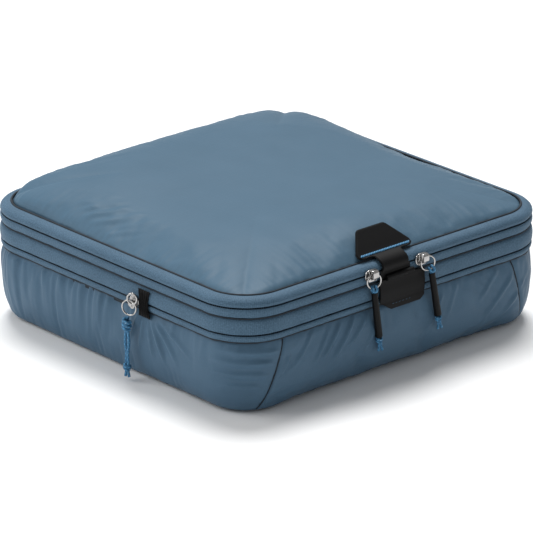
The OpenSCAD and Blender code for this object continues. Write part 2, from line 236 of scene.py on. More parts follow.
def tube(name, points, radius, sides=10, closed=False):
    """A round cord or wire along the points, with its UV map running along it."""
    count = len(points)
    tangents = []
    for i in range(count):
        before = points[i - 1] if closed or i else points[0]
        after = points[(i + 1) % count] if closed or i + 1 < count else points[-1]
        tangents.append((after - before).normalized())
    normal = tangents[0].orthogonal().normalized()
    verts = []
    length = 0.0
    lengths = []
    for i, (point, tangent) in enumerate(zip(points, tangents)):
        normal = (normal - tangent * normal.dot(tangent)).normalized()
        side = tangent.cross(normal)
        for k in range(sides):
            turn = 2 * math.pi * k / sides
            verts.append((point + (normal * math.cos(turn) + side * math.sin(turn)) * radius) * MM)
        length += (point - points[i - 1]).length if i else 0
        lengths.append(length)
    faces = []
    corners = []
    girth = 2 * math.pi * radius
    for i in range(count if closed else count - 1):
        j = (i + 1) % count
        u, u_next = lengths[i], lengths[j] if j else length + (points[0] - points[-1]).length
        for k in range(sides):
            m = (k + 1) % sides
            faces.append((i * sides + k, i * sides + m, j * sides + m, j * sides + k))
            v, v_next = girth * k / sides, girth * (k + 1) / sides
            corners += [(u, v), (u, v_next), (u_next, v_next), (u_next, v)]
    if not closed:
        faces.append(tuple(reversed(range(sides))))
        faces.append(tuple((count - 1) * sides + k for k in range(sides)))
        corners += [(0, 0)] * (2 * sides)
    mesh = bpy.data.meshes.new(name)
    mesh.from_pydata(verts, [], faces)
    layer = mesh.uv_layers.new(name="cloth")
    for loop, corner in zip(layer.data, corners):
        loop.uv = (corner[0] * MM, corner[1] * MM)
    return link(name, mesh)


def join(name, pieces):
    """Makes one piece of several."""
    pick(pieces[0])
    for piece in pieces:
        piece.select_set(True)
    if len(pieces) > 1:
        bpy.ops.object.join()
    pieces[0].name = name
    return pieces[0]


def finish_piece(piece, body, slot, *nodes):
    """Names what the piece rides on, what it is made of and which CAD nodes it stands for."""
    piece.data.materials.clear()
    piece.data.materials.append(finishes[slot])
    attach(piece, body)
    if nodes:
        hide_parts(*nodes)
    return piece


# ---------- materials ----------


class Field:
    """A socket of a material that can be used in arithmetic."""

    def __init__(self, finish, socket):
        self.finish = finish
        self.socket = socket

    def __add__(self, other):
        return self.finish.maths("ADD", self, other)

    def __mul__(self, other):
        return self.finish.maths("MULTIPLY", self, other)

    def __sub__(self, other):
        return self.finish.maths("SUBTRACT", self, other)

    def __rsub__(self, other):
        return self.finish.maths("SUBTRACT", other, self)

    __radd__ = __add__
    __rmul__ = __mul__


class Finish:
    """One material, built node by node."""

    def __init__(self, name):
        self.material = bpy.data.materials.new(name)
        self.material.use_nodes = True
        self.tree = self.material.node_tree
        self.tree.nodes.clear()

    def add(self, kind, settings=None, inputs=None):
        """Adds a node with its settings, then the values or links of its sockets."""
        node = self.tree.nodes.new(kind)
        for key, value in (settings or {}).items():
            if key == "stops":
                ramp = node.color_ramp
                ramp.elements[0].position, ramp.elements[0].color = value[0]
                ramp.elements[1].position, ramp.elements[1].color = value[-1]
                for position, color in value[1:-1]:
                    ramp.elements.new(position).color = color
            else:
                setattr(node, key, value)
        for key, value in (inputs or {}).items():
            if isinstance(value, Field):
                self.tree.links.new(value.socket, node.inputs[key])
            else:
                node.inputs[key].default_value = value
        return node

    def field(self, node, output=0):
        return Field(self, node.outputs[output])

    def maths(self, operation, first, second=0.0):
        return self.field(self.add("ShaderNodeMath", {"operation": operation}, {0: first, 1: second}))

    def place(self, scale, from_cloth=False):
        """Coordinates in metres times scale, from the object or from the cloth's own map."""
        if from_cloth:
            source = self.field(self.add("ShaderNodeUVMap", {"uv_map": "cloth"}))
        else:
            source = self.field(self.add("ShaderNodeTexCoord"), "Object")
        return self.field(self.add("ShaderNodeMapping", {}, {"Vector": source, "Scale": scale}))

    def grain(self, place, scale=1.0, detail=2.0):
        inputs = {"Vector": place, "Scale": scale, "Detail": detail}
        return self.field(self.add("ShaderNodeTexNoise", {}, inputs))

    def threads(self, place, direction, profile="SIN"):
        settings = {"wave_type": "BANDS", "bands_direction": direction, "wave_profile": profile}
        return self.field(self.add("ShaderNodeTexWave", settings, {"Vector": place, "Scale": 1.0}), "Fac")

    def between(self, factor, first, second):
        """The two colours mixed by a field."""
        settings = {"data_type": "RGBA", "clamp_factor": True}
        node = self.add("ShaderNodeMix", settings, {0: factor, 6: (*first, 1), 7: (*second, 1)})
        return Field(self, node.outputs[2])

    def bumped(self, height, distance, strength=1.0):
        inputs = {"Height": height, "Distance": distance, "Strength": strength}
        return self.field(self.add("ShaderNodeBump", {}, inputs))

    def done(self, inputs):
        """The shader itself, and the material."""
        shader = self.add("ShaderNodeBsdfPrincipled", {}, inputs)
        output = self.add("ShaderNodeOutputMaterial")
        self.tree.links.new(shader.outputs[0], output.inputs[0])
        return self.material


def bands(pitch):
    """The scale at which a wave texture repeats once every pitch millimetres."""
    return 2 * math.pi / 20 / (pitch * MM)


def coated_cloth(name, dark, light, thread, relief, from_cloth, roughness=0.52, ripstop=5.0):
    """Coated nylon: a fine weave, a stronger thread every few millimetres and soft colour changes."""
    cloth = Finish(name)
    place = cloth.place((1, 1, 1), from_cloth)
    fine = cloth.place((bands(thread),) * 3, from_cloth)
    weave = cloth.threads(fine, "X") * cloth.threads(fine, "Y")
    coarse = cloth.place((bands(ripstop),) * 3, from_cloth)
    strong = cloth.maths("MAXIMUM", cloth.threads(coarse, "X"), cloth.threads(coarse, "Y"))
    line = cloth.maths("POWER", strong, 30.0)
    clouds = cloth.grain(place, 30.0, 3.0)
    specks = cloth.grain(place, 900.0, 2.0)
    shade = clouds * 0.6 + specks * 0.45 - 0.05 + line * 0.06
    height = weave * 0.5 + specks * 0.6 + line * 0.8
    return cloth.done({
        "Base Color": cloth.between(shade, dark, light),
        "Roughness": specks * 0.14 + (roughness - 0.07),
        "Specular IOR Level": 0.2,
        "Sheen Weight": 0.02,
        "Sheen Roughness": 0.4,
        "Normal": cloth.bumped(height, relief * MM),
    })


def woven_tape(name, dark, light):
    """Zipper tape: ribs along it and speckles where the threads cross."""
    tape = Finish(name)
    rib = tape.threads(tape.place((bands(1.1),) * 3, True), "Y")
    cross = tape.threads(tape.place((bands(1.5),) * 3, True), "X")
    specks = tape.grain(tape.place((1, 1, 1), True), 800.0, 2.0)
    clouds = tape.grain(tape.place((1, 1, 1), True), 40.0, 2.0)
    shade = specks * 1.1 + rib * cross * 0.3 + clouds * 0.35 - 0.4
    height = rib * 0.4 + cross * 0.4 + specks
    return tape.done({
        "Base Color": tape.between(shade, dark, light),
        "Roughness": specks * 0.2 + 0.55,
        "Specular IOR Level": 0.2,
        "Sheen Weight": 0.03,
        "Normal": tape.bumped(height, 0.16 * MM),
    })


def plain_finish(name, dark, light, roughness, spread, scale, relief, **sockets):
    """A moulded or coated surface with a fine grain."""
    plain = Finish(name)
    grain = plain.grain(plain.place((1, 1, 1)), scale, 3.0)
    inputs = {
        "Base Color": plain.between(grain * 1.6 - 0.3, dark, light),
        "Roughness": grain * spread + (roughness - spread / 2),
        "Normal": plain.bumped(grain, relief * MM),
    }
    for key, value in sockets.items():
        inputs[key] = value
    return plain.done(inputs)


def braided_cord(name, dark, light, fleck):
    """Braid: two sets of strands that wind round the cord opposite ways, with light flecks."""
    cord = Finish(name)
    place = cord.place((bands(2.0), bands(2.4), 1), True)
    one = cord.threads(place, "DIAGONAL")
    mirrored = cord.place((bands(2.0), -bands(2.4), 1), True)
    two = cord.threads(mirrored, "DIAGONAL")
    plait = one * two
    specks = cord.grain(cord.place((1, 1, 1)), 700.0, 2.0)
    base = cord.between(plait * 0.9 + specks * 0.5 - 0.15, dark, light)
    flecks = cord.maths("GREATER_THAN", specks, 0.68)
    mixed = cord.add("ShaderNodeMix", {"data_type": "RGBA"}, {0: flecks * 0.5, 6: base, 7: (*fleck, 1)})
    return cord.done({
        "Base Color": Field(cord, mixed.outputs[2]),
        "Roughness": 0.7,
        "Sheen Weight": 0.05,
        "Normal": cord.bumped(plait, 0.25 * MM),
    })


BLACK_SHINE = {"Specular IOR Level": 0.14}
finishes = {
    "lid_fabric": coated_cloth("lid_fabric", (0.053, 0.112, 0.168), (0.073, 0.142, 0.21), 0.9, 0.035, False),
    "side_fabric": coated_cloth("side_fabric", (0.05, 0.103, 0.16), (0.08, 0.15, 0.226), 0.9, 0.04, True),
    "gusset_fabric": coated_cloth("gusset_fabric", (0.06, 0.11, 0.165), (0.09, 0.155, 0.225), 0.9, 0.04,
                                  True),
    "zipper_tape": woven_tape("zipper_tape", (0.03, 0.07, 0.112), (0.115, 0.205, 0.3)),
    "zipper_coil": plain_finish("zipper_coil", (0.004, 0.01, 0.018), (0.01, 0.02, 0.033), 0.45, 0.2,
                                600.0, 0.02),
    "seam_binding": plain_finish("seam_binding", (0.003, 0.009, 0.016), (0.01, 0.02, 0.032), 0.75, 0.2,
                                 900.0, 0.08),
    "black_rubber": plain_finish("black_rubber", (0.002, 0.002, 0.0023), (0.0055, 0.0055, 0.006), 0.55, 0.16,
                                 1500.0, 0.02, **BLACK_SHINE),
    "grip_rubber": plain_finish("grip_rubber", (0.002, 0.002, 0.0023), (0.005, 0.005, 0.0055), 0.45, 0.16,
                                900.0, 0.02, **BLACK_SHINE),
    "blue_thread": plain_finish("blue_thread", (0.035, 0.16, 0.31), (0.09, 0.33, 0.58), 0.5, 0.2, 900.0, 0.06,
                                **{"Sheen Weight": 0.05}),
    "pull_cord": braided_cord("pull_cord", (0.02, 0.11, 0.22), (0.08, 0.3, 0.54), (0.42, 0.6, 0.74)),
    "nickel": plain_finish("nickel", (0.36, 0.355, 0.35), (0.52, 0.51, 0.5), 0.2, 0.12, 400.0, 0.008,
                           **{"Metallic": 1.0}),
}

# ---------- camera, lights and floor ----------

CAMERA_TURN = math.radians(-41.71)
CAMERA_RISE = math.radians(21.45)
CAMERA_AWAY = 3.5
CAMERA_TARGET = Vector((-0.0167, -0.0194, 0.050))
CAMERA_LENS = 298.9


LIGHT_AWAY = 2.5


def aim(thing, turn, rise, away, target):
    """Puts a camera or a light at that bearing and height from the target, looking at it."""
    level = math.cos(rise)
    direction = Vector((math.sin(turn) * level, -math.cos(turn) * level, math.sin(rise)))
    thing.location = target + direction * away
    thing.rotation_euler = (math.pi / 2 - rise, 0, turn)


def add_camera():
    data = bpy.data.cameras.new("camera")
    data.lens = CAMERA_LENS
    data.sensor_width = 36
    camera = bpy.data.objects.new("camera", data)
    bpy.context.scene.collection.objects.link(camera)
    aim(camera, CAMERA_TURN, CAMERA_RISE, CAMERA_AWAY, CAMERA_TARGET)
    bpy.context.scene.camera = camera


def add_light(name, kind, turn, rise, power, **settings):
    data = bpy.data.lights.new(name, kind)
    data.energy = power
    for key, value in settings.items():
        setattr(data, key, value)
    light = bpy.data.objects.new(name, data)
    bpy.context.scene.collection.objects.link(light)
    aim(light, math.radians(turn), math.radians(rise), LIGHT_AWAY, Vector((0, 0, 0.05)))


FLOOR_REACH = 6.0
FLOOR_Z = -0.0004


def add_floor():
    mesh = bpy.data.meshes.new("floor")
    corners = [(FLOOR_REACH * x, FLOOR_REACH * y, FLOOR_Z) for x, y in ((-1, -1), (1, -1), (1, 1), (-1, 1))]
    mesh.from_pydata(corners, [], [(0, 1, 2, 3)])
    floor = link("floor", mesh)
    paint = Finish("floor")
    shade = paint.grain(paint.place((1, 1, 1)), 3.0, 2.0)
    mesh.materials.append(paint.done({
        "Base Color": paint.between(shade, (0.92, 0.92, 0.92), (0.94, 0.94, 0.94)),
        "Roughness": 0.9,
    }))


def add_world():
    world = bpy.data.worlds.new("studio")
    world.use_nodes = True
    world.node_tree.nodes["Background"].inputs[0].default_value = (1, 1, 1, 1)
    world.node_tree.nodes["Background"].inputs[1].default_value = 0.36
    bpy.context.scene.world = world
    bpy.context.scene.view_settings.view_transform = "Standard"


add_camera()
add_light("key", "AREA", -128, 34, 26, size=1.6)
add_light("sky", "SUN", 140, 64, 2.95, angle=math.radians(28))
add_floor()
add_world()

# ---------- cords of the side pull ----------

strands_low, strands_high = low("pull_strands_side"), high("pull_strands_side")
side_pull = (strands_low + strands_high) / 2
side_cord_r = 1.15
side_apart = (strands_high.y - strands_low.y) / 2 - side_cord_r
side_bottom = low("pull_end_side").z
end_knot_top = high("pull_end_side").z
STRAND_BOW = 0.5
STRAND_SPACING = 1.2


def side_strand(name, side):
    """One of the two strands, from inside the knot on the ring to its cut tail."""
    place = side_pull
    spread = side_apart * side
    heights = [strands_high.z + 7, strands_high.z, strands_high.z - 9, strands_high.z - 18,
               strands_low.z, strands_low.z - 7, side_bottom + 0.3]
    spreads = [0.9, 1.05, 1.3, 1.25, 1.05, 0.9, 1.6]
    bows = [0, 0, STRAND_BOW, -STRAND_BOW, 0, 0, 0.2]
    corners = [(place.x - bow * side, place.y + spread * wide, z)
               for z, wide, bow in zip(heights, spreads, bows)]
    path = spline(corners, STRAND_SPACING)
    strand = tube(name, path, side_cord_r, 12)
    finish_piece(strand, "pull_side", "pull_cord", "pull_strands_side")
    return strand, path, run_lengths(path)[-1]


def wrapped_knot(name, centre, top, height, turns, reach, cord_r):
    """A knot seen as turns of cord wound round the strands, each end tucked in."""
    steps = 14 * turns
    corners = []
    for i in range(steps + 1):
        turn = 2 * math.pi * turns * i / steps
        along = i / steps
        wide = reach - cord_r
        tuck = 0.55 + 0.45 * ease(min(along, 1 - along) * turns * 1.6)
        z = top - cord_r - (height - 2 * cord_r) * along + 0.5 * math.sin(turn)
        corners.append((centre.x + wide * tuck * math.cos(turn), centre.y + wide * tuck * math.sin(turn), z))
    return tube(name, spline(corners, 0.6), cord_r, 12)


strand_one, path_one, length_one = side_strand("side_strand_front", -1)
strand_two, path_two, length_two = side_strand("side_strand_back", 1)
side_knot = wrapped_knot("side_knot", side_pull, strands_high.z + 11.4, 11.6, 3, 4.1, 1.35)
finish_piece(side_knot, "pull_side", "pull_cord", "pull_knot_side")
side_end_knot = wrapped_knot("side_end_knot", side_pull, end_knot_top, 7.2, 2, 3.4, 1.25)
finish_piece(side_end_knot, "pull_side", "pull_cord", "pull_end_side")
for strand, path, length in ((strand_one, path_one, length_one), (strand_two, path_two, length_two)):
    path[0] * MM
    length * MM
    [p * MM for p in path]

# ---------- walls ----------

WALL_PROFILE = [(-16, 0.2), (-11.4, 0.7), (-7.4, 3.4), (-4.2, 10), (-1.7, 20), (-0.3, 34), (-0.1, 46),
                (-0.7, 54), (-2.0, 58), (-3.4, 60.4)]
CLOTH_STEP = 2.0
SEAM_TUCK = 1.3
GARAGE_ALONG = left_at(-48.0)
CREASE_GAIN = 1.8
CREASE_WIDTH = 0.85


def seam_along(out, z):
    """How far along the outline the diagonal seam is at that height."""
    x = SEAM_TOP_X + (SEAM_BASE_X - SEAM_TOP_X) * (1 - z / wall_top)
    if x <= flat_x:
        return x
    return flat_x + CORNER_R * math.asin((x - flat_x) / (CORNER_R + out))


def crease(along, z, start, end, width, height):
    """A long soft ridge between two places on a wall, each given along and up."""
    run = Vector((end[0] - start[0], end[1] - start[1]))
    here = Vector((along - start[0], z - start[1]))
    part = here.dot(run) / run.length_squared
    away = abs(here.x * run.y - here.y * run.x) / run.length
    fade = ease(min((part + 0.08) / 0.25, (1.08 - part) / 0.45))
    return CREASE_GAIN * height * fade * bump(away, CREASE_WIDTH * width)


LEFT_CREASES = [
    # from the zipper garage, fanning down towards the near corner
    ((GARAGE_ALONG + 2, 57), (GARAGE_ALONG + 8, 22), 2.8, 1.7),
    ((GARAGE_ALONG + 6, 57), (GARAGE_ALONG + 22, 22), 3.0, 2.0),
    ((GARAGE_ALONG + 10, 56), (GARAGE_ALONG + 36, 28), 3.0, 1.7),
    ((GARAGE_ALONG + 14, 58), (GARAGE_ALONG + 52, 36), 2.8, 1.4),
    ((GARAGE_ALONG - 3, 57), (GARAGE_ALONG - 9, 26), 2.8, 1.6),
    ((GARAGE_ALONG - 8, 57), (GARAGE_ALONG - 22, 30), 2.8, 1.4),
    # level folds that run round the near corner from the diagonal seam
    ((-126, 51), (-178, 53), 3.0, 1.5),
    ((-130, 42), (-186, 45), 3.2, 1.7),
    ((-136, 33), (-180, 35), 3.4, 1.5),
    ((-143, 24), (-176, 25), 3.6, 1.2),
]
FRONT_CREASES = [
    ((-116, 44), (-124, 30), 2.0, 1.5),
    # folds that fall away from the front patch
    ((-24, 50), (-44, 24), 2.6, 1.5),
    ((-37, 55), (-60, 33), 2.6, 2.1),
    ((-50, 57), (-78, 24), 2.8, 2.3),
    ((-64, 56), (-86, 30), 2.6, 2.0),
    ((-76, 54), (-95, 28), 2.8, 1.5),
    ((-92, 57), (-112, 32), 3.0, 1.1),
    ((44, 52), (24, 22), 2.8, 1.3),
    ((60, 57), (46, 30), 2.8, 1.0),
    # folds near the far end of the front
    ((120, 48), (82, 14), 3.2, 1.7),
    ((136, 40), (100, 8), 3.2, 1.7),
    ((104, 56), (80, 34), 3.0, 1.2),
]


def gathers(along, z, where, reach, height):
    """Short upright folds under the top seam of a wall."""
    depth = max(0.0, wall_top - z)
    hold = ease(depth / 3.0) * math.exp(-depth / reach)
    fine = rough(along, z, 4.4, 45, 3.1)
    broad = rough(along, z, 9.0, 70, 7.7)
    return height * where * hold * (1.9 * fine + 1.9 * broad)


def wall_relief(along, z):
    """How far the cloth of a wall stands out at a place."""
    relief = 0.0
    if along < 0:
        far_left = ease((GARAGE_ALONG + 4 - along) / 30)
        relief += gathers(along, z, far_left, 18.0, 2.3)
        beside = bump(along - (GARAGE_ALONG + 24), 34)
        relief += gathers(along, z, beside, 10.0, 1.4)
    relief += gathers(along, z, 0.5, 8.0, 1.2)
    for start, end, width, height in LEFT_CREASES + FRONT_CREASES:
        relief += crease(along, z, start, end, width, height)
    relief += 0.5 * rough(along, z, 45, 30, 1.3)
    return relief


def wall(name, start_side, end_side):
    """One wall from seam to seam."""
    rows = profile_line(WALL_PROFILE, CLOTH_STEP)
    heights = run_lengths(rows)
    starts = [start_side(row.x, row.y) for row in rows]
    ends = [end_side(row.x, row.y) for row in rows]
    count = round(abs(ends[-1] - starts[-1]) / CLOTH_STEP)
    columns = [i / count for i in range(count + 1)]
    middle = len(rows) // 2

    def place(i, j):
        out, z = rows[j].x, rows[j].y
        along = starts[j] + (ends[j] - starts[j]) * columns[i]
        to_seam = min(along - starts[j], ends[j] - along)
        held = ease(to_seam / 7.0) * ease(z / 12.0)
        tuck = SEAM_TUCK * (1 - ease(to_seam / 3.2)) * ease((z + 2) / 10)
        return on_box(along, out + wall_relief(along, z) * held - tuck, z)

    lengths = [starts[middle] + (ends[middle] - starts[middle]) * c for c in columns]
    cloth = grid_shell(name, lengths, heights, place)
    settle(cloth, border(len(lengths), len(heights)), WALL_GROW, WALL_PRESSURE)
    flat = cut_from(cloth, ends[0] - starts[0], heights[-1], "stretched")
    sewn_cloth(cloth, WALL_T)
    return cloth, flat


def front_right(out, z):
    return seam_along(out, z)


def front_left(out, z):
    return -seam_along(out, z)


def back_right(out, z):
    return half_round - seam_along(out, z)


def back_left(out, z):
    return -half_round + seam_along(out, z)


def back_left_far(out, z):
    return half_round + seam_along(out, z)


SIM_FRAMES = 22
SIM_CAP = 3.0


def settle(piece, held, grow, pressure):
    """Cloth simulation of a sheet held at some points: it is a little too big, so it puffs and creases."""
    pick(piece)
    group = piece.vertex_groups.new(name="held")
    group.add(held, 1.0, "REPLACE")
    cloth = piece.modifiers.new("Cloth", "CLOTH")
    cloth.settings.quality = 6
    cloth.settings.mass = 0.12
    cloth.settings.tension_stiffness = 12
    cloth.settings.compression_stiffness = 12
    cloth.settings.shear_stiffness = 5
    cloth.settings.bending_stiffness = 0.06
    cloth.settings.vertex_group_mass = "held"
    cloth.settings.shrink_min = -grow
    cloth.settings.use_pressure = True
    cloth.settings.uniform_pressure_force = pressure
    cloth.settings.effector_weights.gravity = 0
    cloth.collision_settings.use_collision = False
    cloth.point_cache.frame_start = 1
    cloth.point_cache.frame_end = SIM_FRAMES
    scene = bpy.context.scene
    for step in range(1, SIM_FRAMES + 1):
        scene.frame_set(step)
    posed = piece.evaluated_get(bpy.context.evaluated_depsgraph_get())
    moves = [after.co - before.co for after, before in zip(posed.data.vertices, piece.data.vertices)]
    piece.modifiers.remove(cloth)
    piece.vertex_groups.remove(group)
    scene.frame_set(1)
    cap = SIM_CAP * MM
    for vertex, move in zip(piece.data.vertices, moves):
        vertex.co += move * min(1.0, cap / max(move.length, 1e-9))


def border(columns, rows):
    """The points along the four edges of a sheet."""
    last = columns - 1
    return [i * rows + j for i in range(columns) for j in range(rows) if i in (0, last) or j in (0, rows - 1)]


def cut_from(piece, wide, long, held):
    sheet_area = sum(face.area for face in piece.data.polygons)
    flat = (wide * MM, long * MM)
    return {"flat": flat, "held": held, "area": min(sheet_area, flat[0] * flat[1])}


def sewn_cloth(piece, thickness):
    """Gives a sheet its thickness, inwards, and one subdivision."""
    modify(piece, "SOLIDIFY", thickness=thickness * MM, offset=-1)
    modify(piece, "SUBSURF", levels=1, render_levels=1)
    smooth(piece)


WALL_T = 1.0
WALL_GROW = 0.012
WALL_PRESSURE = 0.4
walls = {
    "front": wall("front_wall_cloth", front_left, front_right),
    "right": wall("right_wall_cloth", front_right, back_right),
    "back": wall("back_wall_cloth", back_right, back_left_far),
    "left": wall("left_wall_cloth", back_left, front_left),
}
for side, (cloth, flat) in walls.items():
    finish_piece(cloth, "tub", "side_fabric", side + "_wall")

# ---------- base and corner seams ----------


def rounded_sheet(name, half_x, half_y, corner, count, height):
    """A grid fitted to a rounded rectangle. height gives z from places that run from -1 to 1."""

    def place(i, j):
        a, b = 2 * i / count - 1, 2 * j / count - 1
        size = max(abs(a), abs(b))
        x, y = a * half_x, b * half_y
        bend = corner * size
        inner_x, inner_y = half_x * size - bend, half_y * size - bend
        over_x, over_y = abs(x) - inner_x, abs(y) - inner_y
        if bend > 0 and over_x > 0 and over_y > 0:
            shrink = bend / math.hypot(over_x, over_y)
            x = math.copysign(inner_x + over_x * shrink, x)
            y = math.copysign(inner_y + over_y * shrink, y)
        return Vector((x, y, height(a, b, x, y)))

    steps_x = [2 * half_x * i / count for i in range(count + 1)]
    steps_y = [2 * half_y * j / count for j in range(count + 1)]
    return grid_shell(name, steps_x, steps_y, place)


def base_height(a, b, x, y):
    edge = ease((1 - max(abs(a), abs(b))) * 12)
    return 1.3 - edge * (0.5 - 0.25 * rough(x, y, 40, 40, 5.5))


base = rounded_sheet("base_cloth", half_w - BASE_INSET, half_d - BASE_INSET, CORNER_R - BASE_INSET, 60,
                     base_height)
base_flat = cut_from(base, 2 * (half_w - BASE_INSET), 2 * (half_d - BASE_INSET), "stretched")
modify(base, "SOLIDIFY", thickness=0.9 * MM, offset=-1)
smooth(base)
finish_piece(base, "tub", "side_fabric", "base_panel")

SEAM_LINE_R = 0.8
SEAM_STEP = 3.0
seam_lines = []
for seam in (front_right, back_right, back_left, front_left):
    rows = profile_line(WALL_PROFILE, SEAM_STEP)
    path = [on_box(seam(row.x, row.y), row.x - SEAM_TUCK - 0.1, row.y) for row in rows if row.y > 2]
    seam_lines.append(tube("seam_line", path, SEAM_LINE_R, 8))
smooth(join("corner_seam_lines", seam_lines))
finish_piece(seam_lines[0], "tub", "seam_binding", "corner_seams")

# ---------- tapes ----------

TAPE_T = 0.7
TAPE_STEP = 3.0
TAPE_ROW = 1.1
COMPRESSION_LOWER = [(-2.6, 59.6), (-0.9, 60.4), (0.2, 61.8), (0.7, 63.6), (0.5, 65.0), (-0.2, 65.5)]
COMPRESSION_UPPER = [(-0.2, 66.6), (0.6, 67.3), (1.0, 69.2), (1.2, 72.4), (0.9, 75.4), (0.1, 77.6),
                     (-1.8, 78.9)]
OPENING_LOWER = [(-1.9, 79.8), (-0.3, 80.8), (0.6, 82.8), (0.8, 85), (0.6, 86.7), (-0.1, 87.4)]
OPENING_UPPER = [(-0.1, 88.6), (0.5, 89.4), (0.8, 90.8), (0.1, 92.7), (-1.9, 94.5), (-4.8, 95.5),
                 (-7.6, 95.7)]


def tape(name, profile, waver, ends=None):
    """A zipper tape round the box, or between two places along the outline."""
    rows = profile_line(profile, TAPE_ROW)
    heights = run_lengths(rows)
    start, end = ends or (-half_round, half_round)
    count = round((end - start) / TAPE_STEP)
    columns = [start + (end - start) * i / count for i in range(count + (1 if ends else 0))]

    def place(i, j):
        part = heights[j] / heights[-1]
        out, up = waver(columns[i], part)
        return on_box(columns[i], rows[j].x + out, rows[j].y + up)

    return grid_shell(name, columns, heights, place, 0 if ends else 2 * half_round)


def slack(amount, drop, seed):
    """Waves of a tape: its face by amount, and its first edge up and down by drop."""

    def waver(along, part):
        face = amount * rough(along, part * 14, 13, 9, seed) * math.sin(math.pi * min(1, part * 1.1))
        edge = drop * rough(along, 0, 9, 1, seed + 4) * (1 - ease(part * 2.2))
        return face, edge

    return waver


tape_gap = (-(half_round - hinge_half_w), half_round - hinge_half_w)
tapes = [
    (tape("compression_tape_low", COMPRESSION_LOWER, slack(0.35, 0.7, 2.2)),
     "tub", "compression_tape_lower"),
    (tape("compression_tape_high", COMPRESSION_UPPER, slack(0.4, 0.25, 5.2)),
     "rim", "compression_tape_upper"),
    (tape("opening_tape_low", OPENING_LOWER, slack(0.3, 0.35, 8.2), tape_gap), "rim", "opening_tape_lower"),
    (tape("opening_tape_high", OPENING_UPPER, slack(0.25, 0.1, 1.7), tape_gap), "lid", "opening_tape_upper"),
]
for cloth, body, node in tapes:
    tape_area = sum(face.area for face in cloth.data.polygons)
    tape_wide = max(loop.uv[1] for loop in cloth.data.uv_layers[0].data)
    tape_long = tape_area / tape_wide
    modify(cloth, "SOLIDIFY", thickness=TAPE_T * MM, offset=-1)
    smooth(cloth, 60)
    finish_piece(cloth, body, "zipper_tape", node)

# ---------- dark seams between the bands: real binding, thickened with painted shade ---

# Each dark tube is partly the real dark binding of a seam and partly painted shade. It is thicker than the
# binding, so it also paints the shade in the grooves at the lid's edge and between the bands, and its wavy
# lowest line paints the shadow under the lowest tape's edge.
BINDING_AND_SHADE_SEAMS = [
    ("lid_seam_and_shade", "lid", -8.5, lid_edge + 0.9, 0.85, 0.2),
    ("middle_seam_and_shade", "rim", -1.5, middle_z + 0.4, 0.8, 0.25),
    ("wall_seam_and_shade", "tub", -1.45, wall_top + 0.1, 0.95, 0.75),
]
for name, body, out, z, radius, sway in BINDING_AND_SHADE_SEAMS:
    count = round(2 * half_round / 3.0)
    alongs = [-half_round + 2 * half_round * i / count for i in range(count)]
    path = [on_box(along, out, z + sway * rough(along, z, 8, 1, 5.9)) for along in alongs]
    seam = tube(name, path, radius, 8, True)
    smooth(seam)
    finish_piece(seam, body, "seam_binding")

# ---------- coils ----------

COIL_PITCH = 1.9
COIL_TURN_STEPS = 6
COIL_OUT = -2.1
COIL_UP = 0.95
COIL_WIRE_R = 0.42
COIL_TURN_R = 0.85


def coil(name, z, spans):
    """The sewn coil of a zipper, a wire wound round and round along each span."""
    wires = []
    for start, end in spans:
        turns = round((end - start) / COIL_PITCH)
        path = []
        for i in range(turns * COIL_TURN_STEPS + 1):
            turn = 2 * math.pi * i / COIL_TURN_STEPS
            along = start + (end - start) * i / (turns * COIL_TURN_STEPS)
            out = COIL_OUT + COIL_TURN_R * math.cos(turn)
            path.append(on_box(along, out, z + COIL_TURN_R * math.sin(turn)))
        wires.append(tube(name, path, COIL_WIRE_R, 5))
    return join(name, wires)


coil_gap = half_round - hinge_half_w - 3.0
garage_gap = 3.5
compression_span = [(GARAGE_ALONG + garage_gap, GARAGE_ALONG - garage_gap + 2 * half_round)]
opening_span = [(-coil_gap, coil_gap)]
coils = [
    ("compression_coil_low", compression_z - COIL_UP, compression_span, "tub", "compression_coil_lower"),
    ("compression_coil_high", compression_z + COIL_UP, compression_span, "rim", "compression_coil_upper"),
    ("opening_coil_low", opening_z - COIL_UP, opening_span, "rim", "opening_coil_lower"),
    ("opening_coil_high", opening_z + COIL_UP, opening_span, "lid", "opening_coil_upper"),
]
for name, z, spans, body, node in coils:
    finish_piece(coil(name, z, spans), body, "zipper_coil", node)

# ---------- gusset and hinge ----------

gusset_low = low("expansion_gusset").z
gusset_high = high("expansion_gusset").z
GUSSET_PLEATS = 3


def gusset():
    """The pleated cloth that lets the box grow when the lower zipper is open."""
    corners = []
    for i in range(2 * GUSSET_PLEATS + 1):
        out = -7.2 if i % 2 == 0 else -14.0
        corners.append((out, gusset_low + (gusset_high - gusset_low) * i / (2 * GUSSET_PLEATS), 0))
    rows = spline(corners, 1.6)
    heights = run_lengths(rows)
    count = round(2 * half_round / 5.0)
    columns = [-half_round + 2 * half_round * i / count for i in range(count)]

    def place(i, j):
        return on_box(columns[i], rows[j].x + 0.5 * rough(columns[i], rows[j].y, 14, 6, 9.4), rows[j].y)

    cloth = grid_shell("gusset_cloth", columns, heights, place, 2 * half_round)
    modify(cloth, "SOLIDIFY", thickness=0.4 * MM, offset=0)
    smooth(cloth)
    cloth.data.materials.append(finishes["gusset_fabric"])
    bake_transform(cloth)
    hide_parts("expansion_gusset")
    return cloth


HINGE_ROW = 1.2
HINGE_STEP = 3.0
HINGE_PROFILE = [(-1.9, 79.8), (-0.2, 81.2), (0.6, 84), (0.6, 88), (0.1, 91.2), (-1.6, 93.6), (-4.4, 94.9),
                 (-7.4, 95.4)]


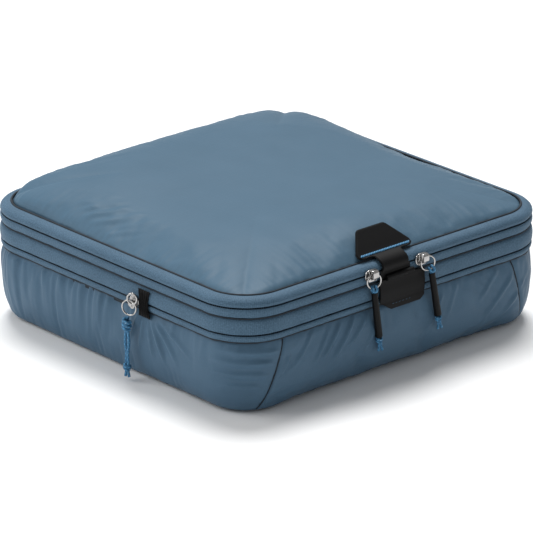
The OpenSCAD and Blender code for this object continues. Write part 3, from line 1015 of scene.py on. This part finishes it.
def hinge():
    """The strip of cloth at the back that the lid turns on."""
    rows = profile_line(HINGE_PROFILE, HINGE_ROW)
    heights = run_lengths(rows)
    start, end = half_round - hinge_half_w, half_round + hinge_half_w
    count = round((end - start) / HINGE_STEP)
    columns = [start + (end - start) * i / count for i in range(count + 1)]

    def place(i, j):
        part = heights[j] / heights[-1]
        swell = 0.35 * rough(columns[i], heights[j], 12, 12, 6.6) * math.sin(math.pi * part)
        return on_box(columns[i], rows[j].x + swell, rows[j].y)

    cloth = grid_shell("hinge_cloth", columns, heights, place)
    flat = cut_from(cloth, end - start, heights[-1], "stretched")
    modify(cloth, "SOLIDIFY", thickness=0.8 * MM, offset=-1)
    smooth(cloth)
    cloth.data.materials.append(finishes["side_fabric"])
    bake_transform(cloth)
    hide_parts("hinge_panel")
    return cloth


gusset()
hinge()

# ---------- lid ----------

LID_T = 1.0
LID_CELLS = 100
LID_GROW = 0.003
LID_PRESSURE = 0.5
LID_RISE = 18.0
LID_SWELL = 7.0
TAB_X = (low("grab_tab").x + high("grab_tab").x) / 2


def lid_height(a, b, x, y):
    """The domed lid, fuller towards the back and a little raised behind the tab."""
    back = max(0.0, b)
    power = 3.0 + 2.0 * back * back
    edge = 0.52 - 0.09 * back
    dome = ((1 - abs(a) ** power) * (1 - abs(b) ** power)) ** edge
    rise = LID_RISE + LID_SWELL * ease((b + 0.2) / 1.1)
    under_tab = 3.0 * bump(x - TAB_X, 60) * bump(y + 118, 40)
    waves = 0.5 * rough(x, y, 60, 60, 2.9) + 0.5 * rough(x, y, 26, 50, 8.1)
    return lid_edge - 0.4 + (rise + 0.4) * dome + under_tab + waves * dome


def lid_creases(x, y):
    """Short gathers along the lid's edge, and crinkles near its left seam."""
    to_side, to_front = lid_half_w - abs(x), lid_half_d - abs(y)
    inside = max(0.0, min(to_side, to_front))
    along = y if to_side < to_front else x
    hold = ease(inside / 3.0) * math.exp(-inside / 13.0)
    gather = hold * (0.9 * rough(along, inside, 3.6, 50, 4.4) + 0.9 * rough(along, inside, 8, 60, 1.4))
    where = bump(x + 134, 26) * bump(y - 34, 62)
    crinkle = 1.8 * where * rough(x * 0.8 + y * 0.6, y * 0.8 - x * 0.6, 5, 13, 6.6)
    return gather + crinkle


lid_corner = CORNER_R - (half_w - lid_half_w)
lid = rounded_sheet("lid_cloth", lid_half_w, lid_half_d, lid_corner, LID_CELLS, lid_height)
lid_points = LID_CELLS + 1
settle(lid, border(lid_points, lid_points), LID_GROW, LID_PRESSURE)
lid_flat = cut_from(lid, 2 * lid_half_w + 26, 2 * lid_half_d + 26, "stretched")
modify(lid, "SUBSURF", levels=1, render_levels=1)
for point in lid.data.vertices:
    point.co.z += lid_creases(point.co.x / MM, point.co.y / MM) * MM
modify(lid, "SOLIDIFY", thickness=LID_T * MM, offset=-1)
smooth(lid)
finish_piece(lid, "lid", "lid_fabric", "lid_panel")

# ---------- modelling ------------------


def primitive(kind, name, scale=(1, 1, 1), **settings):
    """Adds a mesh primitive, stretches it and applies that."""
    bpy.ops.object.select_all(action="DESELECT")
    getattr(bpy.ops.mesh, "primitive_" + kind + "_add")(**settings)
    piece = bpy.context.object
    piece.name = name
    piece.scale = scale
    bpy.ops.object.transform_apply(location=True, rotation=True, scale=True)
    return piece


def open_faces(piece, test):
    """Opens edit mode with the faces that pass the test selected."""
    pick(piece)
    bpy.ops.object.mode_set(mode="EDIT")
    bpy.ops.mesh.select_mode(type="FACE")
    bpy.ops.mesh.select_all(action="DESELECT")
    bpy.ops.object.mode_set(mode="OBJECT")
    for face in piece.data.polygons:
        face.select = test(face.normal, face.center / MM)
    bpy.ops.object.mode_set(mode="EDIT")


def open_edges(piece, axis):
    """Opens edit mode with the edges that run along an axis selected."""
    pick(piece)
    bpy.ops.object.mode_set(mode="EDIT")
    bpy.ops.mesh.select_mode(type="EDGE")
    bpy.ops.mesh.select_all(action="DESELECT")
    bpy.ops.object.mode_set(mode="OBJECT")
    points = piece.data.vertices
    for edge in piece.data.edges:
        run = (points[edge.vertices[0]].co - points[edge.vertices[1]].co).normalized()
        edge.select = abs(run[axis]) > 0.99
    bpy.ops.object.mode_set(mode="EDIT")


def close_edit():
    bpy.ops.object.mode_set(mode="OBJECT")


def put(piece, place):
    """Moves a piece to its place and applies that."""
    pick(piece)
    piece.matrix_world = place
    bpy.ops.object.transform_apply(location=True, rotation=True, scale=True)
    return piece


def crisp(piece, width, segments=2):
    """Rounds the hard edges, then shades the rest smooth."""
    modify(piece, "BEVEL", width=width * MM, segments=segments, limit_method="ANGLE", angle_limit=0.6)
    smooth(piece, 35)


def move_to(x, y, z):
    return Matrix.Translation(Vector((x, y, z)) * MM)


# ---------- sliders ----------

PLATE_T = 1.2
PLATE_OUT = 2.2
INNER_OUT = -2.3
CROWN_OUT = 5.0
CROWN_SIZE = (5.6, 5.8, 7.4)
CROWN_WALL = 0.95


def oval_plate(name, wide, tall, thick, dish):
    """A flat metal oval, dished inside a narrow rim."""
    plate = primitive("cube", name, (wide, thick, tall), size=MM)
    open_edges(plate, 1)
    bpy.ops.mesh.bevel(offset=min(wide, tall) * 0.47 * MM, segments=8, affect="EDGES")
    close_edit()
    open_faces(plate, lambda normal, centre: normal.y < -0.9)
    bpy.ops.mesh.inset(thickness=0.9 * MM, depth=0)
    bpy.ops.mesh.inset(thickness=0.35 * MM, depth=-dish * MM)
    close_edit()
    crisp(plate, 0.22, 3)
    return plate


def crown_strap(name, size, wall):
    """The bail that the ring hangs in: a rounded block with a hole along the zipper."""
    strap = primitive("cube", name, size, size=MM)
    open_edges(strap, 0)
    bpy.ops.mesh.bevel(offset=2.3 * MM, segments=7, affect="EDGES")
    close_edit()
    open_faces(strap, lambda normal, centre: abs(normal.x) > 0.9)
    bpy.ops.mesh.inset(thickness=wall * MM, depth=0)
    bpy.ops.mesh.bridge_edge_loops()
    close_edit()
    crisp(strap, 0.25, 3)
    return strap


def slider_parts(name, wide, tall):
    """The two plates of a slider and the post between them, at the origin."""
    outer = put(oval_plate(name + "_plate", wide, tall, PLATE_T, 0.3), move_to(0, -PLATE_OUT, 0.3))
    inner = put(oval_plate(name + "_back", wide - 1, 6.6, 1.0, 0.1), move_to(0, -INNER_OUT, -1.7))
    post = put(primitive("cube", name + "_post", (2.4, 3.6, 0.5), size=MM), move_to(0, 0, 0))
    ear_low = put(oval_plate(name + "_nose", wide * 0.62, 2.6, 2.0, 0.1), move_to(0, -PLATE_OUT - 0.5, -3.2))
    return [outer, inner, post, ear_low]


def front_slider(tag):
    """A slider of the opening zipper with its crown."""
    middle = (low("slider_" + tag).x + high("slider_" + tag).x) / 2
    crown = put(crown_strap("crown", CROWN_SIZE, CROWN_WALL), move_to(0, -CROWN_OUT, 1.7))
    slider = join("front_slider_" + tag, slider_parts("slider", 13.6, 9.6) + [crown])
    put(slider, move_to(middle, -half_d, opening_z))
    return finish_piece(slider, "slider_" + tag, "nickel", "slider_" + tag, "crown_" + tag)


def side_slider():
    """The slider of the compression zipper, with an oval wire bail and a link plate on its ring."""
    middle = (low("slider_side").y + high("slider_side").y) / 2
    turn = move_to(-half_w, middle, compression_z) @ Matrix.Rotation(-math.pi / 2, 4, "Z")
    bail = primitive("torus", "bail", (0.92, 1.0, 1.08), major_radius=4.3 * MM, minor_radius=0.9 * MM,
                     major_segments=40, minor_segments=14)
    put(bail, move_to(0.4, -5.0, 2.6) @ Matrix.Rotation(math.radians(25), 4, "Z")
        @ Matrix.Rotation(math.pi / 2, 4, "X"))
    smooth(bail)
    slider = join("side_slider", slider_parts("slider", 10.4, 8.4) + [bail])
    put(slider, turn)
    finish_piece(slider, "slider_side", "nickel", "slider_side", "crown_side")
    link_plate = oval_plate("side_link", 7.4, 5.4, 0.9, 0.2)
    put(link_plate, turn @ move_to(-2.0, -3.9, -3.2) @ Matrix.Rotation(math.radians(20), 4, "Y"))
    return finish_piece(link_plate, "ring_side", "nickel")


front_slider("left")
front_slider("right")
side_slider()

# ---------- rings ----------

RING_R = 5.9
RING_OUT = 5.2
CROWN_UP = 2.0
RING_FACE = math.radians(-15)
RING_TILTS = {"left": 0.0, "right": math.radians(31)}


def wire_ring(name, radius, wire, node, top, face, tilt):
    """A round wire ring that hangs from its top point."""
    ring = primitive("torus", name, major_radius=radius * MM, minor_radius=wire * MM, major_segments=64,
                     minor_segments=18)
    lean = Matrix.Rotation(face, 4, "Z") @ Matrix.Rotation(-tilt, 4, "Y")
    upright = Matrix.Rotation(math.pi / 2, 4, "X")
    put(ring, Matrix.Translation(top * MM) @ lean @ move_to(0, 0, -radius) @ upright)
    smooth(ring)
    return finish_piece(ring, node, "nickel", node)


ring_tops = {}
for tag in RING_TILTS:
    middle = (low("slider_" + tag).x + high("slider_" + tag).x) / 2
    ring_tops[tag] = Vector((middle, -half_d - RING_OUT, opening_z + CROWN_UP))
    wire_ring("front_ring_" + tag, RING_R, 0.68, "ring_" + tag, ring_tops[tag], RING_FACE, RING_TILTS[tag])
side_middle = (low("slider_side").y + high("slider_side").y) / 2
wire_ring("side_ring", 6.1, 0.7, "ring_side", Vector((-half_w - RING_OUT, side_middle, compression_z + 0.5)),
          math.radians(-90 + 20), math.radians(-22))

# ---------- main pulls ----------

PULL_CORD_R = 1.05
GRIP_TOP = -3.4
GRIP_LENGTH = 38.0
GRIP_R = 3.1
GRIP_END = GRIP_TOP - GRIP_LENGTH
LEANS = {"left": math.radians(8), "right": math.radians(11)}
LARK = [(-0.95, 0, -9), (-0.95, 0.2, -3.6), (-1.1, 1.5, -1.2), (-1.4, 1.5, 0.5), (-1.5, 0, 1.6),
        (-1.7, -1.55, 0.3), (-1.4, -1.95, -1.3)]
LARK_BAR = (0, -2.35, -2.0)
TAILS = [((-0.8, 0, 0), (-1.2, -0.2, -3), (-1.9, 0.3, -6.6)),
         ((0.8, 0, 0), (1.3, 0.3, -3.2), (1.6, -0.4, -7.2))]


def hollow_end():
    """Sinks the selected end of a sleeve inside its rim, and leaves edit mode."""
    bpy.ops.mesh.inset(thickness=0.55 * MM, depth=0)
    bpy.ops.mesh.inset(thickness=0.1 * MM, depth=-0.8 * MM)
    close_edit()


def main_pull(tag):
    """A lark's head of cord on the ring, a rubber sleeve over its legs, then a knot and two tails."""
    tilt, lean = RING_TILTS[tag], LEANS[tag]
    reach = 2 * RING_R
    level = math.sin(tilt)
    swing = Vector((level * math.cos(RING_FACE), level * math.sin(RING_FACE), -math.cos(tilt)))
    hang = ring_tops[tag] + swing * reach

    def placed(point):
        grip = ease((point[2] + 3.6) / 3.0)
        turn = Matrix.Rotation(RING_FACE * grip, 3, "Z")
        turn = turn @ Matrix.Rotation(-lean - (tilt - lean) * grip, 3, "Y")
        return hang + turn @ Vector(point)

    mirrored = [(-x, y, z) for x, y, z in reversed(LARK)]
    loop_path = spline([placed(p) for p in LARK + [LARK_BAR] + mirrored], 0.45)
    loop = tube("pull_loop", loop_path, PULL_CORD_R, 12)
    leaning = Matrix.Translation(hang * MM) @ Matrix.Rotation(-lean, 4, "Y")
    knot = put(wrapped_knot("pull_knot", Vector((0, 0, 0)), GRIP_END + 0.6, 6.4, 2, 3.0, 1.0), leaning)
    tails = [put(tube("pull_tail", spline([Vector(p) + Vector((0, 0, GRIP_END - 5.2)) for p in tail], 0.6),
                      PULL_CORD_R, 10), leaning) for tail in TAILS]
    cord = join("main_cord_" + tag, [loop, knot] + tails)
    smooth(cord)
    finish_piece(cord, "pull_" + tag, "pull_cord", "pull_cord_" + tag)

    grip = primitive("cylinder", "main_grip_" + tag, (1, 0.86, 1), vertices=36, radius=GRIP_R * MM,
                     depth=GRIP_LENGTH * MM)
    open_faces(grip, lambda normal, centre: normal.z > 0.9)
    bpy.ops.transform.resize(value=(0.84, 0.84, 1), center_override=(0, 0, GRIP_LENGTH / 2 * MM))
    hollow_end()
    open_faces(grip, lambda normal, centre: normal.z < -0.9)
    hollow_end()
    crisp(grip, 0.3, 3)
    put(grip, leaning @ move_to(0, 0, GRIP_TOP - GRIP_LENGTH / 2))
    finish_piece(grip, "pull_" + tag, "grip_rubber", "pull_grip_" + tag)


main_pull("left")
main_pull("right")

# ---------- front patch, tab and garage ----------

PATCH_LEFT = low("front_patch").x
PATCH_RIGHT = high("front_patch").x
PATCH_LOW = low("front_patch").z
PATCH_TOP = middle_z + 2.4
PATCH_OUT = 2.4
PATCH_STITCHES = 6
ROLL_R = 2.2


def patch_low(x):
    """The lower edge of the patch, with its cut corners."""
    left_cut = 8.0 * max(0.0, (PATCH_LEFT + 12 - x) / 12)
    right_cut = 3.5 * max(0.0, (x - PATCH_RIGHT + 4) / 4)
    return PATCH_LOW + left_cut + right_cut


def front_patch():
    """The flap under the tab: a flat body, a rolled top and the dark pocket behind them."""
    columns = [PATCH_LEFT + (PATCH_RIGHT - PATCH_LEFT) * i / 34 for i in range(35)]
    rows = [i / 20 for i in range(21)]

    def body_at(i, j):
        x, part = columns[i], rows[j]
        z = patch_low(x) + (PATCH_TOP - patch_low(x)) * part
        out = PATCH_OUT + 0.7 * bump(z - 70, 9) - 0.5 * bump(z - 62, 2.2) + 0.3 * rough(x, z, 16, 10, 3.3)
        return Vector((x, -half_d - out, z))

    body = grid_shell("patch_body", columns, rows, body_at)
    modify(body, "SOLIDIFY", thickness=1.1 * MM, offset=1)
    modify(body, "BEVEL", width=0.25 * MM, segments=2, limit_method="ANGLE", angle_limit=0.8)
    roll_path = spline([(-19.5, -half_d - 3.4, PATCH_TOP + 1.0), (-6, -half_d - 3.7, PATCH_TOP + 1.2),
                        (9, -half_d - 3.4, PATCH_TOP + 1.4)], 1.5)
    roll = tube("patch_roll", roll_path, ROLL_R, 20)
    crisp(roll, 0.3, 2)
    pocket_columns = [-24 + 31 * i / 20 for i in range(21)]
    pocket_rows = [i / 8 for i in range(9)]

    def pocket_at(i, j):
        part = pocket_rows[j]
        out = 1.3 + 0.35 * math.sin(math.pi * part)
        return Vector((pocket_columns[i], -half_d - out, PATCH_TOP - 2 + 9.6 * part))

    pocket = grid_shell("patch_pocket", pocket_columns, pocket_rows, pocket_at)
    modify(pocket, "SOLIDIFY", thickness=0.6 * MM, offset=0)
    patch = join("front_patch_cloth", [body, roll, pocket])
    smooth(patch, 50)
    finish_piece(patch, "rim", "black_rubber", "front_patch")
    stitches = []
    for i in range(PATCH_STITCHES):
        x = -12.0 + 17.5 * i / (PATCH_STITCHES - 1)
        y = -half_d - PATCH_OUT - 1.0
        ends = [(x - 1.1, y + 0.35, PATCH_LOW + 4.1), (x, y - 0.15, PATCH_LOW + 4.3),
                (x + 1.1, y + 0.35, PATCH_LOW + 4.5)]
        stitches.append(tube("stitch", spline(ends, 0.4), 0.22, 6))
    thread = join("patch_stitches", stitches)
    smooth(thread)
    finish_piece(thread, "rim", "zipper_tape")


TAB_LINE = [(-159.4, 88.3), (-160.0, 91.6), (-158.6, 94.9), (-155.4, 97.0), (-151.6, 97.8), (-147.4, 99.2),
            (-140.5, 105.0), (-130.2, 113.6)]
TAB_T = 1.3
TONGUE_HALF = 13.6
TAB_HALF = high("grab_tab").x - TAB_X
TAB_BACK_HALF = 14.6
TAB_STITCHES = 30


def tab_half(v, start, full):
    """Half the width of the tab at v along it; start is where the tongue ends and full its length."""
    fillet = 3.0
    if v < start - fillet:
        return TONGUE_HALF
    if v < start:
        t = 1 - (start - v) / fillet
        return TONGUE_HALF + fillet * (1 - math.sqrt(max(0.0, 1 - t * t)))
    if v < start + 3.2:
        return TAB_HALF - 3.4 + 3.4 * math.sin(math.pi / 2 * (v - start) / 3.2)
    if v < start + 6:
        return TAB_HALF
    half = TAB_HALF + (TAB_BACK_HALF - TAB_HALF) * (v - start - 6) / (full - start - 6)
    corner = 2.2
    if v > full - corner:
        t = (v - full + corner) / corner
        half -= corner * (1 - math.sqrt(max(0.0, 1 - t * t)))
    return half


def tab_rows(start, full):
    values = [0, 2, 4, 6, 8, start - 3, start - 2, start - 1, start - 0.4, start - 0.02, start + 0.02]
    values += [start + 0.6, start + 1.4, start + 2.3, start + 3.2, start + 4.5, start + 6]
    steps = 8
    values += [start + 6 + (full - start - 8.2) * i / steps for i in range(1, steps + 1)]
    values += [full - 1.5, full - 0.8, full - 0.3, full]
    return values


def grab_tab():
    """The pull tab, its tongue over the edge of the lid, and the row of stitches across its foot."""
    line = spline([(0, y, z) for y, z in TAB_LINE], 0.5)
    lengths = run_lengths(line)
    full = lengths[-1]
    start = next(v for v, p in zip(lengths, line) if p.y > -150.6)
    rows = tab_rows(start, full)

    def at(x, v, lift):
        k = min(len(line) - 2, max(0, sum(1 for length in lengths if length <= v) - 1))
        part = (v - lengths[k]) / (lengths[k + 1] - lengths[k])
        run = (line[k + 1] - line[k]).normalized()
        normal = Vector((0, -run.z, run.y))
        point = line[k].lerp(line[k + 1], part) + normal * lift
        return Vector((x, point.y, point.z))

    def layer(name, edge, lift, thickness):
        columns = [-1 + 2 * i / 32 for i in range(33)]
        kept = [v for v in rows if v >= edge]

        def place(i, j):
            v = min(max(kept[j], kept[0]), full - edge)
            half = tab_half(v, start, full)
            half = half - edge if v > start else half - min(edge, 0.5)
            return at(TAB_X + columns[i] * half, v, lift)

        sheet = grid_shell(name, columns, kept, place)
        modify(sheet, "SOLIDIFY", thickness=thickness * MM, offset=1)
        modify(sheet, "BEVEL", width=0.2 * MM, segments=2, limit_method="ANGLE", angle_limit=0.8)
        return sheet

    layers = [layer("tab_low", 0.0, 0.2, TAB_T * 0.6), layer("tab_high", 0.9, 0.85, TAB_T * 0.5)]
    tab = join("grab_tab_cloth", layers)
    smooth(tab, 40)
    finish_piece(tab, "lid", "black_rubber", "grab_tab")
    stitches = []
    for i in range(TAB_STITCHES):
        x = TAB_X - 24.6 + 49.2 * i / (TAB_STITCHES - 1)
        ends = [at(x - 0.75, start + 1.9, 1.5), at(x, start + 2.7, 1.85), at(x + 0.75, start + 3.5, 1.5)]
        stitches.append(tube("stitch", spline(ends, 0.4), 0.62, 8))
    thread = join("tab_bartack_thread", stitches)
    smooth(thread)
    finish_piece(thread, "lid", "blue_thread", "tab_bartack")


def garage():
    """The gathered black cloth at the end of the compression zipper."""
    bottom, top = low("garage_patch").z, high("garage_patch").z
    first, last = left_at(high("garage_patch").y) - 2.2, left_at(low("garage_patch").y)
    columns = [first + (last - first) * i / 26 for i in range(27)]
    rows = [bottom + (top - bottom) * i / 24 for i in range(25)]

    def place(i, j):
        along, z = columns[i], rows[j]
        part = (z - bottom) / (top - bottom)
        pinch = 1 - 0.28 * math.sin(math.pi * part)
        middle = (first + last) / 2
        folds = 1.1 * math.sin(along * 2.0 + 0.9 * math.sin(z * 0.4)) + 0.5 * rough(along, z, 2, 4, 6.1)
        wander = 0.8 * rough(0, z, 1, 5, 2.2)
        out = 2.0 + folds * math.sin(math.pi * part) ** 0.4
        return on_box(middle + (along - middle) * pinch + wander, out, z)

    cloth = grid_shell("garage_cloth", columns, rows, place)
    sewn_cloth(cloth, 0.8)
    return finish_piece(cloth, "tub", "black_rubber", "garage_patch")


front_patch()
grab_tab()
garage()

# ---------- CAD parts that keep their shape ----------

KEPT = {
    "seam_binding": ["base_binding", "wall_binding", "middle_binding", "lid_piping", "lid_binding"],
    "nickel": ["compression_stops", "opening_stops_lower", "opening_stops_upper"],
}
for slot_name, nodes in KEPT.items():
    for node in nodes:
        for material_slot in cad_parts[node].material_slots:
            material_slot.material = finishes[slot_name]
